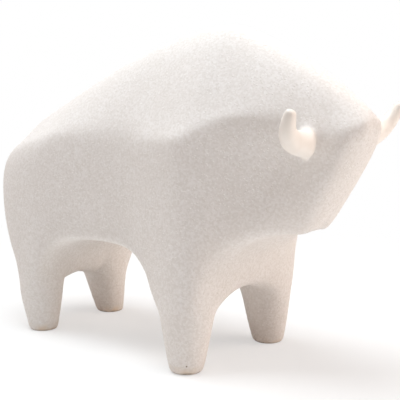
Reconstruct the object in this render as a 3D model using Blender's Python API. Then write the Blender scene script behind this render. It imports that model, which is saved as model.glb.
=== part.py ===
"""A tabletop bull in moulded stoneware: a humped body on four short legs, a wedge of a head and two horns.

The whole figure is one moulded piece, so it is one object, bull. Half of it is drawn as a cage of sections
from rump to face, with two legs and a horn growing out of it, and is then mirrored and subdivided into a
smooth skin. Metres, +Z up. The bull looks along +X and stands on the plane z = 0, with the origin below the
middle of its box.
"""

import math
from collections import namedtuple

import bmesh
import bpy
from mathutils import Vector

# The body
LENGTH = 0.321
HEIGHT = 0.2279
WIDTH = 0.123

# The feet: the distances between their middles, how wide each is above the rounding of its sole, and its
# flat sole
WHEELBASE = 0.153
FRONT_TRACK = 0.093
REAR_TRACK = 0.0725
FRONT_FOOT_DIAMETER = 0.0248
REAR_FOOT_DIAMETER = 0.0234
SOLE_DIAMETER = 0.022
SOLE_ROUNDING = 0.004

# The horns: how far each stands out of the head and then rises, and how thick it is at its root and its
# blunt tip
HORN_REACH = 0.0305
HORN_RISE = 0.0185
HORN_ROOT_DIAMETER = 0.0186
HORN_TIP_DIAMETER = 0.0092

# One section of half the body. top and bottom are its ends on the middle plane: along from halfway
# between the feet as a share of the length, and up as a share of the height. The eave is where the
# sloping back turns into the flank, and the sill is where the flank turns under, towards the inner side
# of the legs. They are given as a height, and a distance from the middle as a share of half the width.
# The swell is how far down to the eave the back is at half way across: the smaller, the rounder the back.
Section = namedtuple("Section", "top bottom swell eave flank sill inner")
SECTIONS = (
    Section((-0.409, 0.551), (-0.320, 0.205), 0.24, (0.509, 0.29), (0.454, 0.54), (0.256, 0.58), (0.203, 0.24)),
    Section((-0.340, 0.671), (-0.296, 0.172), 0.20, (0.607, 0.53), (0.532, 0.74), (0.223, 0.76), (0.162, 0.23)),
    Section((-0.200, 0.772), (-0.214, 0.180), 0.17, (0.663, 0.69), (0.572, 0.84), (0.226, 0.86), (0.168, 0.25)),
    Section((-0.101, 0.843), (-0.165, 0.298), 0.17, (0.701, 0.70), (0.612, 0.81), (0.321, 0.82), (0.304, 0.36)),
    Section((0.033, 0.928), (0.055, 0.311), 0.20, (0.723, 0.70), (0.612, 0.78), (0.351, 0.76), (0.321, 0.40)),
    Section((0.136, 0.974), (0.136, 0.272), 0.24, (0.710, 0.79), (0.610, 0.88), (0.276, 0.86), (0.263, 0.39)),
    Section((0.243, 1.000), (0.241, 0.230), 0.24, (0.712, 0.89), (0.625, 0.98), (0.254, 1.00), (0.207, 0.36)),
    Section((0.322, 0.969), (0.293, 0.241), 0.24, (0.754, 0.76), (0.666, 0.85), (0.276, 0.90), (0.223, 0.34)),
    Section((0.397, 0.922), (0.326, 0.360), 0.22, (0.759, 0.67), (0.671, 0.70), (0.398, 0.76), (0.360, 0.39)),
    Section((0.482, 0.856), (0.404, 0.411), 0.20, (0.743, 0.505), (0.642, 0.54), (0.442, 0.56), (0.414, 0.275)),
    Section((0.534, 0.803), (0.437, 0.419), 0.20, (0.717, 0.41), (0.617, 0.455), (0.445, 0.40), (0.419, 0.19)),
    Section((0.582, 0.743), (0.464, 0.430), 0.20, (0.705, 0.29), (0.642, 0.34), (0.462, 0.27), (0.430, 0.13)),
)
ROOF_SHARE = 0.5

# The middles of the rump and of the flat face, along and up as in the sections
RUMP_MIDDLE = (-0.436, 0.458)
FACE_MIDDLE = (0.556, 0.606)

# The points of half a section, from the crest of the back down to the keel
CREST, ROOF, EAVE, FLANK, SILL, INNER, KEEL = range(7)

# Two edges that are crisper than the rest, each along one line of points from a first section to a last:
# the lower edge of the belly between the legs, and the upper edge of the neck from the shoulder to the
# horn
Edge = namedtuple("Edge", "line first last crease")
CRISP_EDGES = (Edge(SILL, 3, 5, 0.45), Edge(EAVE, 7, 9, 0.4))

# Two ribs that are crisper than the rest, each down one section from a first point to a last: the fold of
# the waist, and the front edge of the shoulder
Rib = namedtuple("Rib", "section first last crease")
CRISP_RIBS = (Rib(4, EAVE, FLANK, 0.5), Rib(6, EAVE, SILL, 0.45))

# The sections that a leg grows from, and the rings it narrows through on its way down: the height as a
# share of the bull's, and the length and width as multiples of the foot's diameter. A leg leans by the
# two shares of its height.
Leg = namedtuple("Leg", "sections rings lean")
FRONT_LEG = Leg((5, 6, 7), ((0.187, 1.58, 1.46), (0.112, 1.36, 1.32)), (-0.025, -0.05))
REAR_LEG = Leg((1, 2, 3), ((0.140, 1.59, 1.37), (0.080, 1.34, 1.23)), (-0.130, -0.06))
LEG_RING_ANGLES = (30, 90, 150, 210, 270, 330)
SOLE_FLAT_SHARE = 0.6

# The horn grows between two sections, from the eave to the flank, and starts beside the middle of that
# hole: in front of it, out of it and below it, by shares of the root's diameter. It curves out and up
# like a quarter of an ellipse, but sweeps forward as it goes out, leans forward as it rises, and curls up
# early. It is thinner from front to back than from top to bottom, and its taper above 1 keeps it thick
# for longer. A last, smaller ring rounds the tip.
HORN_SECTIONS = (9, 10)
HORN_SEAT = (0.36, 0.21, 0.0)
HORN_SWEEP = 0.02
HORN_LEAN = 0.45
HORN_FLATNESS = 0.85
HORN_CURL = 1.0
HORN_TAPER = 1.05
HORN_TURNS = (0, 30, 60, 90)
HORN_TIP_ROUNDING = 0.45
HORN_TIP_BLUNTNESS = 0.55
HORN_RING_ANGLES = (45, 135, 225, 315)

# A smooth skin shrinks a ring of six points to 5/6 of its size and a ring of four to 2/3
SIX_POINT_GROWTH = 6 / 5
FOUR_POINT_GROWTH = 3 / 2
SETTLING_ROUNDS = 3
SKIN_LEVELS = 2
MERGE_DISTANCE = 0.0001

SLIP_COLOUR = (0.73, 0.69, 0.64, 1.0)
SLIP_ROUGHNESS = 0.85
GLAZE_COLOUR = (0.84, 0.74, 0.62, 1.0)
GLAZE_ROUGHNESS = 0.35


def lerp(a, b, share):
    return a + (b - a) * share


def on_middle_plane(along, up):
    return Vector((along * LENGTH, 0, up * HEIGHT))


def section_points(section):
    """The points of half a section, on the side where y is above 0."""
    top = on_middle_plane(*section.top)
    bottom = on_middle_plane(*section.bottom)

    def at(up, out):
        """The point of the slanting section at a height and a distance from the middle plane."""
        share = (section.top[1] - up) / (section.top[1] - section.bottom[1])
        return lerp(top, bottom, share) + Vector((0, out * WIDTH / 2, 0))

    eave_up, eave_out = section.eave
    roof = at(lerp(section.top[1], eave_up, section.swell), eave_out * ROOF_SHARE)
    return [top, roof, at(*section.eave), at(*section.flank), at(*section.sill), at(*section.inner), bottom]


def join(bm, upper, lower):
    """Closes the gap between two rings of vertices with quads."""
    for i, (a, c) in enumerate(zip(upper, lower)):
        bm.faces.new((upper[i - 1], a, c, lower[i - 1]))


def ring(bm, centre, angles, u, v):
    """Vertices on an ellipse about the centre, at the angles from its half axis u towards its half axis v."""
    turns = [math.radians(angle) for angle in angles]
    return [bm.verts.new(centre + u * math.cos(turn) + v * math.sin(turn)) for turn in turns]


def body(bm):
    """The sections' vertices, with the skin between them left open where the legs and the horn grow."""
    rows = [[bm.verts.new(point) for point in section_points(section)] for section in SECTIONS]
    holes = {(i, SILL) for leg in (REAR_LEG, FRONT_LEG) for i in leg.sections[:-1]}
    holes.add((HORN_SECTIONS[0], EAVE))
    for i, (back, front) in enumerate(zip(rows, rows[1:])):
        for k in range(CREST, KEEL):
            if (i, k) not in holes:
                bm.faces.new((back[k], front[k], front[k + 1], back[k + 1]))
    crease = bm.edges.layers.float.new("crease_edge")
    for edge in CRISP_EDGES:
        points = [row[edge.line] for row in rows[edge.first:edge.last + 1]]
        for back, front in zip(points, points[1:]):
            bm.edges.get((back, front))[crease] = edge.crease
    for rib in CRISP_RIBS:
        points = rows[rib.section][rib.first:rib.last + 1]
        for upper, lower in zip(points, points[1:]):
            bm.edges.get((upper, lower))[crease] = rib.crease
    for row, middle in ((rows[0], RUMP_MIDDLE), (rows[-1], FACE_MIDDLE)):
        hub = bm.verts.new(on_middle_plane(*middle))
        for k in (CREST, EAVE, SILL):
            bm.faces.new((hub, row[k], row[k + 1], row[k + 2]))
    return rows


def leg(bm, rows, shape, x, y, foot_diameter):
    """One leg, from the hole in the underside down to its flat sole."""
    back, middle, front = (rows[i] for i in shape.sections)
    loop = [front[SILL], middle[SILL], back[SILL], back[INNER], middle[INNER], front[INNER]]
    foot = foot_diameter / 2
    sole = SOLE_DIAMETER / 2
    rings = [(up * HEIGHT, length * foot, width * foot) for up, length, width in shape.rings]
    rings += [(SOLE_ROUNDING, foot, foot), (0, sole, sole), (0, sole * SOLE_FLAT_SHARE, sole * SOLE_FLAT_SHARE)]
    for height, half_length, half_width in rings:
        centre = Vector((x + shape.lean[0] * height, y + shape.lean[1] * height, height))
        half_axes = Vector((half_length, 0, 0)), Vector((0, half_width, 0))
        lower = ring(bm, centre, LEG_RING_ANGLES, *(axis * SIX_POINT_GROWTH for axis in half_axes))
        join(bm, loop, lower)
        loop = lower
    bm.faces.new((loop[0], loop[1], loop[4], loop[5]))
    bm.faces.new((loop[1], loop[2], loop[3], loop[4]))


def horn(bm, rows):
    """The horn, from the hole in the side of the head outwards and up. Gives its rings, the tip's ring last."""
    back, front = (rows[i] for i in HORN_SECTIONS)
    loop = [front[EAVE], back[EAVE], back[FLANK], front[FLANK]]
    hole_middle = sum((vert.co for vert in loop), Vector()) / len(loop)
    root = hole_middle + Vector(HORN_SEAT) * HORN_ROOT_DIAMETER
    out = Vector((HORN_SWEEP, 1, 0)) * HORN_REACH
    rise = Vector((HORN_LEAN, 0, 1)) * HORN_RISE
    rings = []
    for degrees in HORN_TURNS:
        turn = math.radians(degrees)
        centre = root + out * math.sin(turn) + rise * (1 - math.cos(turn)) ** HORN_CURL
        heading = (out * math.cos(turn) + rise * math.sin(turn)).normalized()
        up = Vector((1, 0, 0)).cross(heading).normalized()
        side = heading.cross(up)
        slenderness = (degrees / HORN_TURNS[-1]) ** HORN_TAPER
        radius = lerp(HORN_ROOT_DIAMETER, HORN_TIP_DIAMETER, slenderness) / 2
        outer = ring(bm, centre, HORN_RING_ANGLES, side * radius * HORN_FLATNESS, up * radius)
        join(bm, loop, outer)
        loop = outer
        rings.append(outer)
    centre = centre + heading * HORN_TIP_DIAMETER * HORN_TIP_ROUNDING
    radius = radius * HORN_TIP_BLUNTNESS * FOUR_POINT_GROWTH
    tip = ring(bm, centre, HORN_RING_ANGLES, side * radius * HORN_FLATNESS, up * radius)
    join(bm, loop, tip)
    bm.faces.new(tip)
    return rings + [tip]


def settle(bull, targets):
    """Moves the cage's points out until the smooth skin passes close to the places that they were drawn at."""
    graph = bpy.context.evaluated_depsgraph_get()
    for _ in range(SETTLING_ROUNDS):
        graph.update()
        skin = bull.evaluated_get(graph).data
        for i, target in targets.items():
            bull.data.vertices[i].co += target - skin.vertices[i].co
        bull.data.update()


def centre_on_box(bull):
    """Moves the cage along so that the origin is below the middle of the skin's box."""
    graph = bpy.context.evaluated_depsgraph_get()
    graph.update()
    along = [vert.co.x for vert in bull.evaluated_get(graph).data.vertices]
    shift = (min(along) + max(along)) / 2
    for vert in bull.data.vertices:
        vert.co.x -= shift
    bull.data.update()


def finish(name, colour, roughness):
    """A plain, non-metallic material."""
    material = bpy.data.materials.new(name)
    material.use_nodes = True
    shader = material.node_tree.nodes["Principled BSDF"]
    shader.inputs["Base Color"].default_value = colour
    shader.inputs["Roughness"].default_value = roughness
    shader.inputs["Metallic"].default_value = 0.0
    return material


def main():
    for old in list(bpy.data.objects):
        bpy.data.objects.remove(old, do_unlink=True)

    bm = bmesh.new()
    rows = body(bm)
    leg(bm, rows, REAR_LEG, -WHEELBASE / 2, REAR_TRACK / 2, REAR_FOOT_DIAMETER)
    leg(bm, rows, FRONT_LEG, WHEELBASE / 2, FRONT_TRACK / 2, FRONT_FOOT_DIAMETER)
    horn_rings = horn(bm, rows)
    horn_verts = {vert for outer in horn_rings for vert in outer}
    for face in bm.faces:
        face.material_index = int(horn_verts.issuperset(face.verts))
    bmesh.ops.recalc_face_normals(bm, faces=bm.faces)
    bm.verts.index_update()
    settled = [vert for row in rows + horn_rings[:-1] for vert in row]
    targets = {vert.index: vert.co.copy() for vert in settled}
    mesh = bpy.data.meshes.new("bull")
    bm.to_mesh(mesh)
    bm.free()
    mesh.shade_smooth()
    mesh.materials.append(finish("Gritty white slip", SLIP_COLOUR, SLIP_ROUGHNESS))
    mesh.materials.append(finish("Cream horn glaze", GLAZE_COLOUR, GLAZE_ROUGHNESS))

    bull = bpy.data.objects.new("bull", mesh)
    bpy.context.scene.collection.objects.link(bull)
    mirror = bull.modifiers.new("Both sides", "MIRROR")
    mirror.use_axis = (False, True, False)
    mirror.merge_threshold = MERGE_DISTANCE
    skin = bull.modifiers.new("Smooth skin", "SUBSURF")
    skin.levels = SKIN_LEVELS
    skin.render_levels = SKIN_LEVELS
    skin.use_limit_surface = True
    settle(bull, targets)
    centre_on_box(bull)


main()
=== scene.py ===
"""A moulded stoneware bull: a body in sandy white slip, two smooth horns in cream glaze, and bare soles."""

import math

import bmesh
import bpy
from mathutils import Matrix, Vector


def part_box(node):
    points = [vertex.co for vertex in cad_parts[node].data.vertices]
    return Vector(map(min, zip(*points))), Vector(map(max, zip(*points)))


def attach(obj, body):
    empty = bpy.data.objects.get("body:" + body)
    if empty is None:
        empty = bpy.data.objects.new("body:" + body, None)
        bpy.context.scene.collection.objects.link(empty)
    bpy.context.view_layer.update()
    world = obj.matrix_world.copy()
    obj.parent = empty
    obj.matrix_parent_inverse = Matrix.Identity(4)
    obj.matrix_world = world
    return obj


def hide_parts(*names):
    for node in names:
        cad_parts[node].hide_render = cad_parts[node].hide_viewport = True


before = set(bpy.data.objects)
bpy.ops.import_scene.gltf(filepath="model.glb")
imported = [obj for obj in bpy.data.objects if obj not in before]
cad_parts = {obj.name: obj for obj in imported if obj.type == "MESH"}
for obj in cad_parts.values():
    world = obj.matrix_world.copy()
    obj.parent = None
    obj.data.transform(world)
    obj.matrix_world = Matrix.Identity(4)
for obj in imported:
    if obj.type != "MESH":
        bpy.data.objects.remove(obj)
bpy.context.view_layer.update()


# The body
# The bull is one hollow stoneware casting from a plaster mould, fettled smooth by hand and dipped in a thick
# white slip with sand in it, so its planes are soft and finely uneven. The horns were wiped clean and glazed,
# and the glaze and the slip were wiped off the soles before the firing.

MM = 0.001
BODY_SUBDIVISIONS = 2
QUAD_ANGLE = math.radians(60)
WELD_DISTANCE = 0.01 * MM

# the plane side of the head, out of which the horn grows: how far from the middle it is at the front of the
# body's box, how much further for each metre back, and the space that the horn takes along and up
HEAD_HALF_WIDTH = 17.3 * MM
HEAD_FLARE = 0.369
HORN_BACK = 112 * MM
HORN_BOTTOM = 132 * MM

# the slip: how thick it lies, the distance between its swells and how deep they are, coarse and fine, and
# how much of them shows under the glaze
SLIP_THICKNESS = 0.1 * MM
SWELL_SIZE = 9 * MM
SWELL_DEPTH = 0.10 * MM
PEEL_SIZE = 2.8 * MM
PEEL_DEPTH = 0.09 * MM
GLAZED_SHARE = 0.15
SLIP_SEED = 3

# where the horn's glaze ends, out from the side of the head, and how soft that edge is
GLAZE_START = 1.6 * MM
GLAZE_BLEND = 1.4 * MM

# the sole's wiped edge: as high as this above the table, give or take the wobble, which repeats at this
# length, how far below and above it the slip thins out, and how far up it is thin enough for clay to show
WIPED_HEIGHT = 1.0 * MM
WIPED_WOBBLE = 0.7 * MM
WOBBLE_LENGTH = 5 * MM
FADE_BELOW = 0.4 * MM
FADE_ABOVE = 0.6 * MM
BLUSH_HEIGHT = 7 * MM


def add(tree, kind, inputs=None, links=None, **settings):
    """Adds a node with its settings, its sockets' values and its links."""
    node = tree.nodes.new(kind)
    for name, value in settings.items():
        setattr(node, name, value)
    for key, value in (inputs or {}).items():
        node.inputs[key].default_value = value
    for key, source in (links or {}).items():
        tree.links.new(source, node.inputs[key])
    return node


def out_of_head(point):
    """How far a point stands out of the side of the head, where the horn is, and below 0 elsewhere."""
    side = HEAD_HALF_WIDTH + HEAD_FLARE * (cad_front - point.x)
    out = (abs(point.y) - side) / math.hypot(1, HEAD_FLARE)
    return min(out, point.x - HORN_BACK, point.z - HORN_BOTTOM)


def quad_copy(node, name):
    """A copy of a node's mesh, with its points merged and its triangles paired into quads again."""
    mesh = node.data.copy()
    mesh.name = name
    mesh.materials.clear()
    bm = bmesh.new()
    bm.from_mesh(mesh)
    bmesh.ops.remove_doubles(bm, verts=bm.verts, dist=WELD_DISTANCE)
    bmesh.ops.join_triangles(bm, faces=bm.faces, angle_face_threshold=QUAD_ANGLE,
                             angle_shape_threshold=QUAD_ANGLE)
    for face in bm.faces:
        face.smooth = True
    bm.to_mesh(mesh)
    bm.free()
    piece = bpy.data.objects.new(name, mesh)
    bpy.context.scene.collection.objects.link(piece)
    return piece


def make_plain(piece):
    """Turns a piece with modifiers into a plain mesh."""
    graph = bpy.context.evaluated_depsgraph_get()
    mesh = bpy.data.meshes.new_from_object(piece.evaluated_get(graph))
    piece.modifiers.clear()
    piece.data = mesh


def set_inputs(modifier, values):
    """Sets a modifier's inputs, found by their names, by their identifiers."""
    for item in modifier.node_group.interface.items_tree:
        if item.item_type == "SOCKET" and item.in_out == "INPUT" and item.name in values:
            modifier[item.identifier] = values[item.name]


def geometry_tree(name, inputs):
    """A Geometry Nodes tree with its named inputs. Gives the tree, its input node and its output node."""
    tree = bpy.data.node_groups.new(name, "GeometryNodeTree")
    tree.interface.new_socket("Geometry", in_out="INPUT", socket_type="NodeSocketGeometry")
    for label, kind in inputs.items():
        tree.interface.new_socket(label, in_out="INPUT", socket_type="NodeSocket" + kind)
    tree.interface.new_socket("Geometry", in_out="OUTPUT", socket_type="NodeSocketGeometry")
    return tree, add(tree, "NodeGroupInput"), add(tree, "NodeGroupOutput")


def finish_tree(tree, geometry, material, end):
    """Makes a tree's instances real, dresses them and sends them to the output."""
    real = add(tree, "GeometryNodeRealizeInstances", None, {0: geometry})
    dressed = add(tree, "GeometryNodeSetMaterial", None, {0: real.outputs[0], "Material": material})
    tree.links.new(dressed.outputs[0], end.inputs[0])


def slip_tree():
    """Lets the skin sink unevenly along its normals, as the attribute slip says."""
    tree, entry, end = geometry_tree("Slip", {
        "Swell size": "Float", "Swell depth": "Float", "Peel size": "Float", "Peel depth": "Float",
        "Thickness": "Float", "Seed": "Float", "Material": "Material"})
    total = entry.outputs["Thickness"]
    for label in ("Swell", "Peel"):
        scale = add(tree, "ShaderNodeMath", {0: 1.0}, {1: entry.outputs[label + " size"]}, operation="DIVIDE")
        noise = add(tree, "ShaderNodeTexNoise", {"Detail": 1.0},
                    {"W": entry.outputs["Seed"], "Scale": scale.outputs[0]}, noise_dimensions="4D")
        depth = entry.outputs[label + " depth"]
        total = add(tree, "ShaderNodeMath", None, {0: noise.outputs[0], 1: depth, 2: total},
                    operation="MULTIPLY_ADD").outputs[0]
    share = add(tree, "GeometryNodeInputNamedAttribute", {"Name": "slip"}).outputs["Attribute"]
    sunk = add(tree, "ShaderNodeMath", None, {0: total, 1: share}, operation="MULTIPLY").outputs[0]
    inwards = add(tree, "ShaderNodeMath", {1: -1.0}, {0: sunk}, operation="MULTIPLY").outputs[0]
    normal = add(tree, "GeometryNodeInputNormal").outputs[0]
    offset = add(tree, "ShaderNodeVectorMath", None, {0: normal, "Scale": inwards}, operation="SCALE")
    moved = add(tree, "GeometryNodeSetPosition", None,
                {"Geometry": entry.outputs["Geometry"], "Offset": offset.outputs[0]})
    finish_tree(tree, moved.outputs[0], entry.outputs["Material"], end)
    return tree


def linear(code):
    """The linear colour of a hex sRGB code."""
    values = [int(code[i:i + 2], 16) / 255 for i in (0, 2, 4)]
    channels = [v / 12.92 if v <= 0.04045 else ((v + 0.055) / 1.055) ** 2.4 for v in values]
    return tuple(channels) + (1.0,)


# Stoneware under a matte white slip with sand in it: chalky and without gloss, with specks a little lighter
# and darker than the ground. The specks are drawn up to 2 mm apart, coarser than the sand, so that they show.
# The horns' cream glaze is smooth and satin. The soles' wiped edges show the bare clay, which is a warm grey
# brown. The pinhole is where a bubble burst in the slip of the near front foot. Its dot is bare clay, painted
# much darker as the shade inside the pit, because the mesh has no pit there.
GROUND_DRIFT = 18 * MM
DARK_SPECK = 2.0 * MM
LIGHT_SPECK = 1.4 * MM
CLAY_PATCH = 4 * MM
BLUSH_PATCH = 9 * MM
CREAM_DRIFT = 7 * MM
GRIT_SIZE = 1.5 * MM
GRIT_DEPTH = 0.1 * MM
GRIT_STRENGTH = 0.4
SLIP_ROUGHNESS = 0.9
GLAZE_ROUGHNESS = 0.38
SPECULAR = 0.4
PINHOLE = Vector((58.2, -55.8, 6.8)) * MM
PINHOLE_RADIUS = 0.45 * MM
PINHOLE_RIM = 1.6 * PINHOLE_RADIUS


def stoneware(name):
    """The one material of the whole bull, which knows its slip, its glaze and its bare clay apart."""
    material = bpy.data.materials.new(name)
    material.use_nodes = True
    tree = material.node_tree
    shader = tree.nodes["Principled BSDF"]
    place = add(tree, "ShaderNodeTexCoord").outputs["Object"]

    def remap(value, low, high, to_low=0.0, to_high=1.0):
        ends = {"From Min": low, "From Max": high, "To Min": to_low, "To Max": to_high}
        return add(tree, "ShaderNodeMapRange", ends, {"Value": value}).outputs[0]

    def cloud(size, detail=0.0):
        values = {"Scale": 1 / size, "Detail": detail}
        return add(tree, "ShaderNodeTexNoise", values, {"Vector": place}).outputs[0]

    def mix(share, a, b):
        node = add(tree, "ShaderNodeMix", data_type="RGBA")
        for socket, value in ((0, share), (6, a), (7, b)):
            if isinstance(value, tuple):
                node.inputs[socket].default_value = value
            else:
                tree.links.new(value, node.inputs[socket])
        return node.outputs[2]

    ground = mix(remap(cloud(GROUND_DRIFT, 2.0), 0.35, 0.65), linear("E9E4DF"), linear("EDE9E5"))
    sanded = mix(remap(cloud(DARK_SPECK, 1.0), 0.36, 0.64), linear("E3DED8"), ground)
    sandy = mix(remap(cloud(LIGHT_SPECK), 0.50, 0.90), sanded, linear("F1EEEA"))

    height = add(tree, "ShaderNodeSeparateXYZ", None, {0: place}).outputs["Z"]
    wobble = remap(cloud(WOBBLE_LENGTH, 1.0), 0.3, 0.7, -WIPED_WOBBLE, WIPED_WOBBLE)
    wiped_edge = add(tree, "ShaderNodeMath", None, {0: height, 1: wobble}, operation="ADD").outputs[0]
    clay = mix(remap(cloud(CLAY_PATCH, 2.0), 0.4, 0.6), linear("CDBBA8"), linear("B9AEA2"))
    thin = remap(height, WIPED_HEIGHT, BLUSH_HEIGHT, 1.0, 0.0)
    patches = remap(cloud(BLUSH_PATCH, 1.0), 0.4, 0.65)
    blush = add(tree, "ShaderNodeMath", None, {0: thin, 1: patches}, operation="MULTIPLY").outputs[0]
    blushed = mix(blush, sandy, linear("E3D2BE"))
    footed = mix(remap(wiped_edge, WIPED_HEIGHT - FADE_BELOW, WIPED_HEIGHT + FADE_ABOVE), clay, blushed)
    # the pinhole: a dark dot that is partly bare clay and partly painted shade of the pit
    hole = add(tree, "ShaderNodeVectorMath", {1: PINHOLE}, {0: place}, operation="DISTANCE").outputs["Value"]
    pinhole_clay_and_shade = mix(remap(hole, PINHOLE_RADIUS, PINHOLE_RIM), linear("8A7A6C"), footed)

    horn = add(tree, "ShaderNodeAttribute", attribute_name="out_of_head_mm").outputs["Fac"]
    start = GLAZE_START / MM
    half_blend = GLAZE_BLEND / MM / 2
    glazed = remap(horn, start - half_blend, start + half_blend)
    cream = mix(remap(cloud(CREAM_DRIFT, 1.0), 0.3, 0.7), linear("F1EAE1"), linear("F5EFE7"))
    tree.links.new(mix(glazed, pinhole_clay_and_shade, cream), shader.inputs["Base Color"])
    tree.links.new(remap(glazed, 0, 1, SLIP_ROUGHNESS, GLAZE_ROUGHNESS), shader.inputs["Roughness"])
    shader.inputs["Specular IOR Level"].default_value = SPECULAR
    grit = cloud(GRIT_SIZE, 2.0)
    strength = remap(glazed, 0, 1, GRIT_STRENGTH, 0.0)
    bump = add(tree, "ShaderNodeBump", {"Distance": GRIT_DEPTH}, {"Height": grit, "Strength": strength})
    tree.links.new(bump.outputs[0], shader.inputs["Normal"])
    return material


def clamp(value):
    """The nearest share between 0 and 1."""
    return max(0.0, min(1.0, value))


cad_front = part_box("bull")[1].x
bull = quad_copy(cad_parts["bull"], "stoneware_bull")
smooth = bull.modifiers.new("Smooth", "SUBSURF")
smooth.levels = BODY_SUBDIVISIONS
smooth.render_levels = BODY_SUBDIVISIONS
make_plain(bull)
outs = [out_of_head(vert.co) for vert in bull.data.vertices]
slips = []
grits = []
for vert, out in zip(bull.data.vertices, outs):
    bare = clamp((out - GLAZE_START + GLAZE_BLEND) / GLAZE_BLEND)
    raised = clamp(vert.co.z / WIPED_HEIGHT)
    slips.append(raised * (1 - bare * (1 - GLAZED_SHARE)))
    grits.append(float(bare == 0 and vert.co.z > WIPED_HEIGHT + WIPED_WOBBLE))
for label, values in (("out_of_head_mm", [out / MM for out in outs]), ("slip", slips), ("grit", grits)):
    bull.data.attributes.new(label, "FLOAT", "POINT").data.foreach_set("value", values)
slip = bull.modifiers.new("Slip", "NODES")
slip.node_group = slip_tree()
set_inputs(slip, {"Thickness": SLIP_THICKNESS, "Swell size": SWELL_SIZE, "Swell depth": SWELL_DEPTH,
                  "Peel size": PEEL_SIZE, "Peel depth": PEEL_DEPTH, "Seed": float(SLIP_SEED),
                  "Material": stoneware("Sandy slip over stoneware")})
make_plain(bull)
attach(bull, "root")
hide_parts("bull")


# The sand
# Coarse sand was stirred into the slip. Its grains lie flat in it under a thin coat of white, and stand out
# as low, round dots all over the body, but not on the glazed horns or on the wiped soles.

GRAINS_PER_SQUARE_METRE = 90000
GRAIN_RADIUS = (0.35 * MM, 0.75 * MM)
GRAIN_FLATNESS = 0.3
GRAIN_SIDES = 6
GRAIN_RINGS = 2
SAND_SEED = 11


def sand_tree():
    """Scatters flat grains over the faces, as densely as the attribute grit says."""
    tree, entry, end = geometry_tree("Sand", {
        "Density": "Float", "Smallest": "Float", "Largest": "Float", "Flatness": "Float", "Sides": "Int",
        "Rings": "Int", "Seed": "Int", "Material": "Material"})
    given = entry.outputs
    share = add(tree, "GeometryNodeInputNamedAttribute", {"Name": "grit"}).outputs["Attribute"]
    density = add(tree, "ShaderNodeMath", None, {0: given["Density"], 1: share}, operation="MULTIPLY")
    points = add(tree, "GeometryNodeDistributePointsOnFaces", None,
                 {"Mesh": given["Geometry"], "Density": density.outputs[0], "Seed": given["Seed"]})
    radius = add(tree, "FunctionNodeRandomValue", None,
                 {"Min": given["Smallest"], "Max": given["Largest"], "Seed": given["Seed"]},
                 data_type="FLOAT")
    size = next(socket for socket in radius.outputs if socket.enabled)
    thick = add(tree, "ShaderNodeMath", None, {0: size, 1: given["Flatness"]}, operation="MULTIPLY")
    scale = add(tree, "ShaderNodeCombineXYZ", None, {0: size, 1: size, 2: thick.outputs[0]})
    grain = add(tree, "GeometryNodeMeshUVSphere", {"Radius": 1.0},
                {"Segments": given["Sides"], "Rings": given["Rings"]})
    broken = add(tree, "GeometryNodeSetShadeSmooth", {"Shade Smooth": False}, {0: grain.outputs["Mesh"]})
    laid = add(tree, "GeometryNodeInstanceOnPoints", None,
               {"Points": points.outputs["Points"], "Instance": broken.outputs[0],
                "Rotation": points.outputs["Rotation"], "Scale": scale.outputs[0]})
    finish_tree(tree, laid.outputs[0], given["Material"], end)
    return tree


sand = bpy.data.objects.new("slip_sand", bull.data.copy())
bpy.context.scene.collection.objects.link(sand)
grains = sand.modifiers.new("Sand", "NODES")
grains.node_group = sand_tree()
set_inputs(grains, {"Density": float(GRAINS_PER_SQUARE_METRE), "Smallest": GRAIN_RADIUS[0],
                    "Largest": GRAIN_RADIUS[1], "Flatness": GRAIN_FLATNESS, "Sides": GRAIN_SIDES,
                    "Rings": GRAIN_RINGS, "Seed": SAND_SEED, "Material": bull.data.materials[0]})
make_plain(sand)
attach(sand, "root")


# The floor
# A plain, very pale, matte sweep that the bull stands on. The photo shows it almost burnt out to white below
# the bull, and away from the bull it runs into the white behind it. For the camera the sweep is mixed with a
# white glow, full away from the bull and half as strong near it. This glow is painted light, and it pales the
# bull's shadow on the floor.

FLOOR_SIZE = 60.0

# how far from the bull the painted white glow sets in and is complete, and how much of it the floor keeps
# nearer to the bull, where it pales the bull's shadow
WHITE_START = 0.2
WHITE_END = 0.55
LEAST_PAINTED_GLOW = 0.5

bpy.ops.mesh.primitive_plane_add(size=FLOOR_SIZE)
floor = bpy.context.object
floor.name = "floor"
paper = bpy.data.materials.new("White paper with a painted glow")
paper.use_nodes = True
sheet = paper.node_tree
matte = sheet.nodes["Principled BSDF"]
matte.inputs["Base Color"].default_value = linear("F5F5F4")
matte.inputs["Roughness"].default_value = 1.0
spot = add(sheet, "ShaderNodeTexCoord").outputs["Object"]
reach = add(sheet, "ShaderNodeVectorMath", None, {0: spot}, operation="LENGTH").outputs["Value"]
ends = {"From Min": WHITE_START, "From Max": WHITE_END, "To Min": LEAST_PAINTED_GLOW}
fade = add(sheet, "ShaderNodeMapRange", ends, {"Value": reach}, interpolation_type="SMOOTHSTEP").outputs[0]
looked_at = add(sheet, "ShaderNodeLightPath").outputs["Is Camera Ray"]
share = add(sheet, "ShaderNodeMath", None, {0: fade, 1: looked_at}, operation="MULTIPLY").outputs[0]
# a white glow seen only by the camera: painted light that whitens the floor and pales the bull's shadow
glow = add(sheet, "ShaderNodeEmission", {"Color": linear("FFFFFF"), "Strength": 1.0}).outputs[0]
blend = add(sheet, "ShaderNodeMixShader", None, {0: share, 1: matte.outputs[0], 2: glow}).outputs[0]
sheet.links.new(blend, sheet.nodes["Material Output"].inputs["Surface"])
floor.data.materials.append(paper)


# The camera
# Where the photographer stood: in front of the bull's right side, a little above it, and near enough for the
# far legs to look smaller. The azimuth is how far the view turns from the plain side towards the head.

VIEW_AZIMUTH = math.radians(39.534)
VIEW_ELEVATION = math.radians(8.181)
VIEW_DISTANCE = 0.699
VIEW_AIM = Vector((14.67, 10.7, 105.3)) * MM

# the lens and the width of its film, in millimetres, as the camera takes them
LENS = 87.65
SENSOR = 36.0

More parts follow.
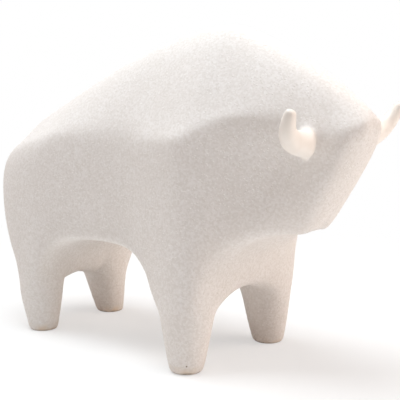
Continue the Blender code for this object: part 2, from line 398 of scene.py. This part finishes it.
to_right = Vector((math.cos(VIEW_AZIMUTH), math.sin(VIEW_AZIMUTH), 0))
away = Vector((-math.sin(VIEW_AZIMUTH), math.cos(VIEW_AZIMUTH), 0))
lens = bpy.data.cameras.new("camera")
lens.lens = LENS
lens.sensor_width = SENSOR
camera = bpy.data.objects.new("camera", lens)
toward = -away * math.cos(VIEW_ELEVATION) + Vector((0, 0, math.sin(VIEW_ELEVATION)))
camera.location = VIEW_AIM + toward * VIEW_DISTANCE
camera.rotation_euler = (-toward).to_track_quat("-Z", "Y").to_euler()
bpy.context.scene.collection.objects.link(camera)
bpy.context.scene.camera = camera


# The light
# Softboxes on stands around the table, each given by its bearing from the camera (90 is to the right of the
# picture), its height as an angle, its power in watts and its colour.

BOX_SIZE = 0.9
BOX_DISTANCE = 1.4
SOFTBOXES = (
    ("high_left", 268, 77, 22.0, "F2FAFF"),
    ("high_front_right", 40, 60, 4.5, "F1F8FF"),
    ("right", 88, 22, 9.6, "FFEEE2"),
    ("low_left", 240, 8, 2.8, "FFF2E8"),
)
LIGHT_AIM = Vector((0, 0, 0.1))

for name, bearing, elevation, power, tint in SOFTBOXES:
    turn = math.radians(bearing)
    tilt = math.radians(elevation)
    level = to_right * math.sin(turn) - away * math.cos(turn)
    way = level * math.cos(tilt) + Vector((0, 0, math.sin(tilt)))
    lamp = bpy.data.lights.new(name, "AREA")
    lamp.size = BOX_SIZE
    lamp.energy = power
    lamp.color = linear(tint)[:3]
    box = bpy.data.objects.new(name, lamp)
    box.location = LIGHT_AIM + way * BOX_DISTANCE
    box.rotation_euler = (-way).to_track_quat("-Z", "Y").to_euler()
    box.visible_camera = False
    bpy.context.scene.collection.objects.link(box)


# The tent
# A white cloth tent around the table. It fills the shadows with a dim, warm light, and the camera sees it as
# plain white. What the glaze and the slip mirror of it is darker than that.

FILL_COLOUR = "FFD3BF"
FILL_STRENGTH = 0.175
SEEN_STRENGTH = 1.0
MIRRORED_STRENGTH = 0.3

world = bpy.data.worlds.new("Tent")
world.use_nodes = True
bpy.context.scene.world = world
tent = world.node_tree
fill = tent.nodes["Background"]
fill.inputs["Color"].default_value = linear(FILL_COLOUR)
fill.inputs["Strength"].default_value = FILL_STRENGTH
white = linear("FFFFFF")
seen = add(tent, "ShaderNodeBackground", {"Color": white, "Strength": SEEN_STRENGTH}).outputs[0]
mirrored = add(tent, "ShaderNodeBackground", {"Color": white, "Strength": MIRRORED_STRENGTH}).outputs[0]
ray = add(tent, "ShaderNodeLightPath").outputs
glossy = add(tent, "ShaderNodeMixShader", None, {0: ray["Is Glossy Ray"], 1: fill.outputs[0], 2: mirrored})
either = add(tent, "ShaderNodeMixShader", None, {0: ray["Is Camera Ray"], 1: glossy.outputs[0], 2: seen})
tent.links.new(either.outputs[0], tent.nodes["World Output"].inputs["Surface"])
bpy.context.scene.view_settings.view_transform = "Standard"
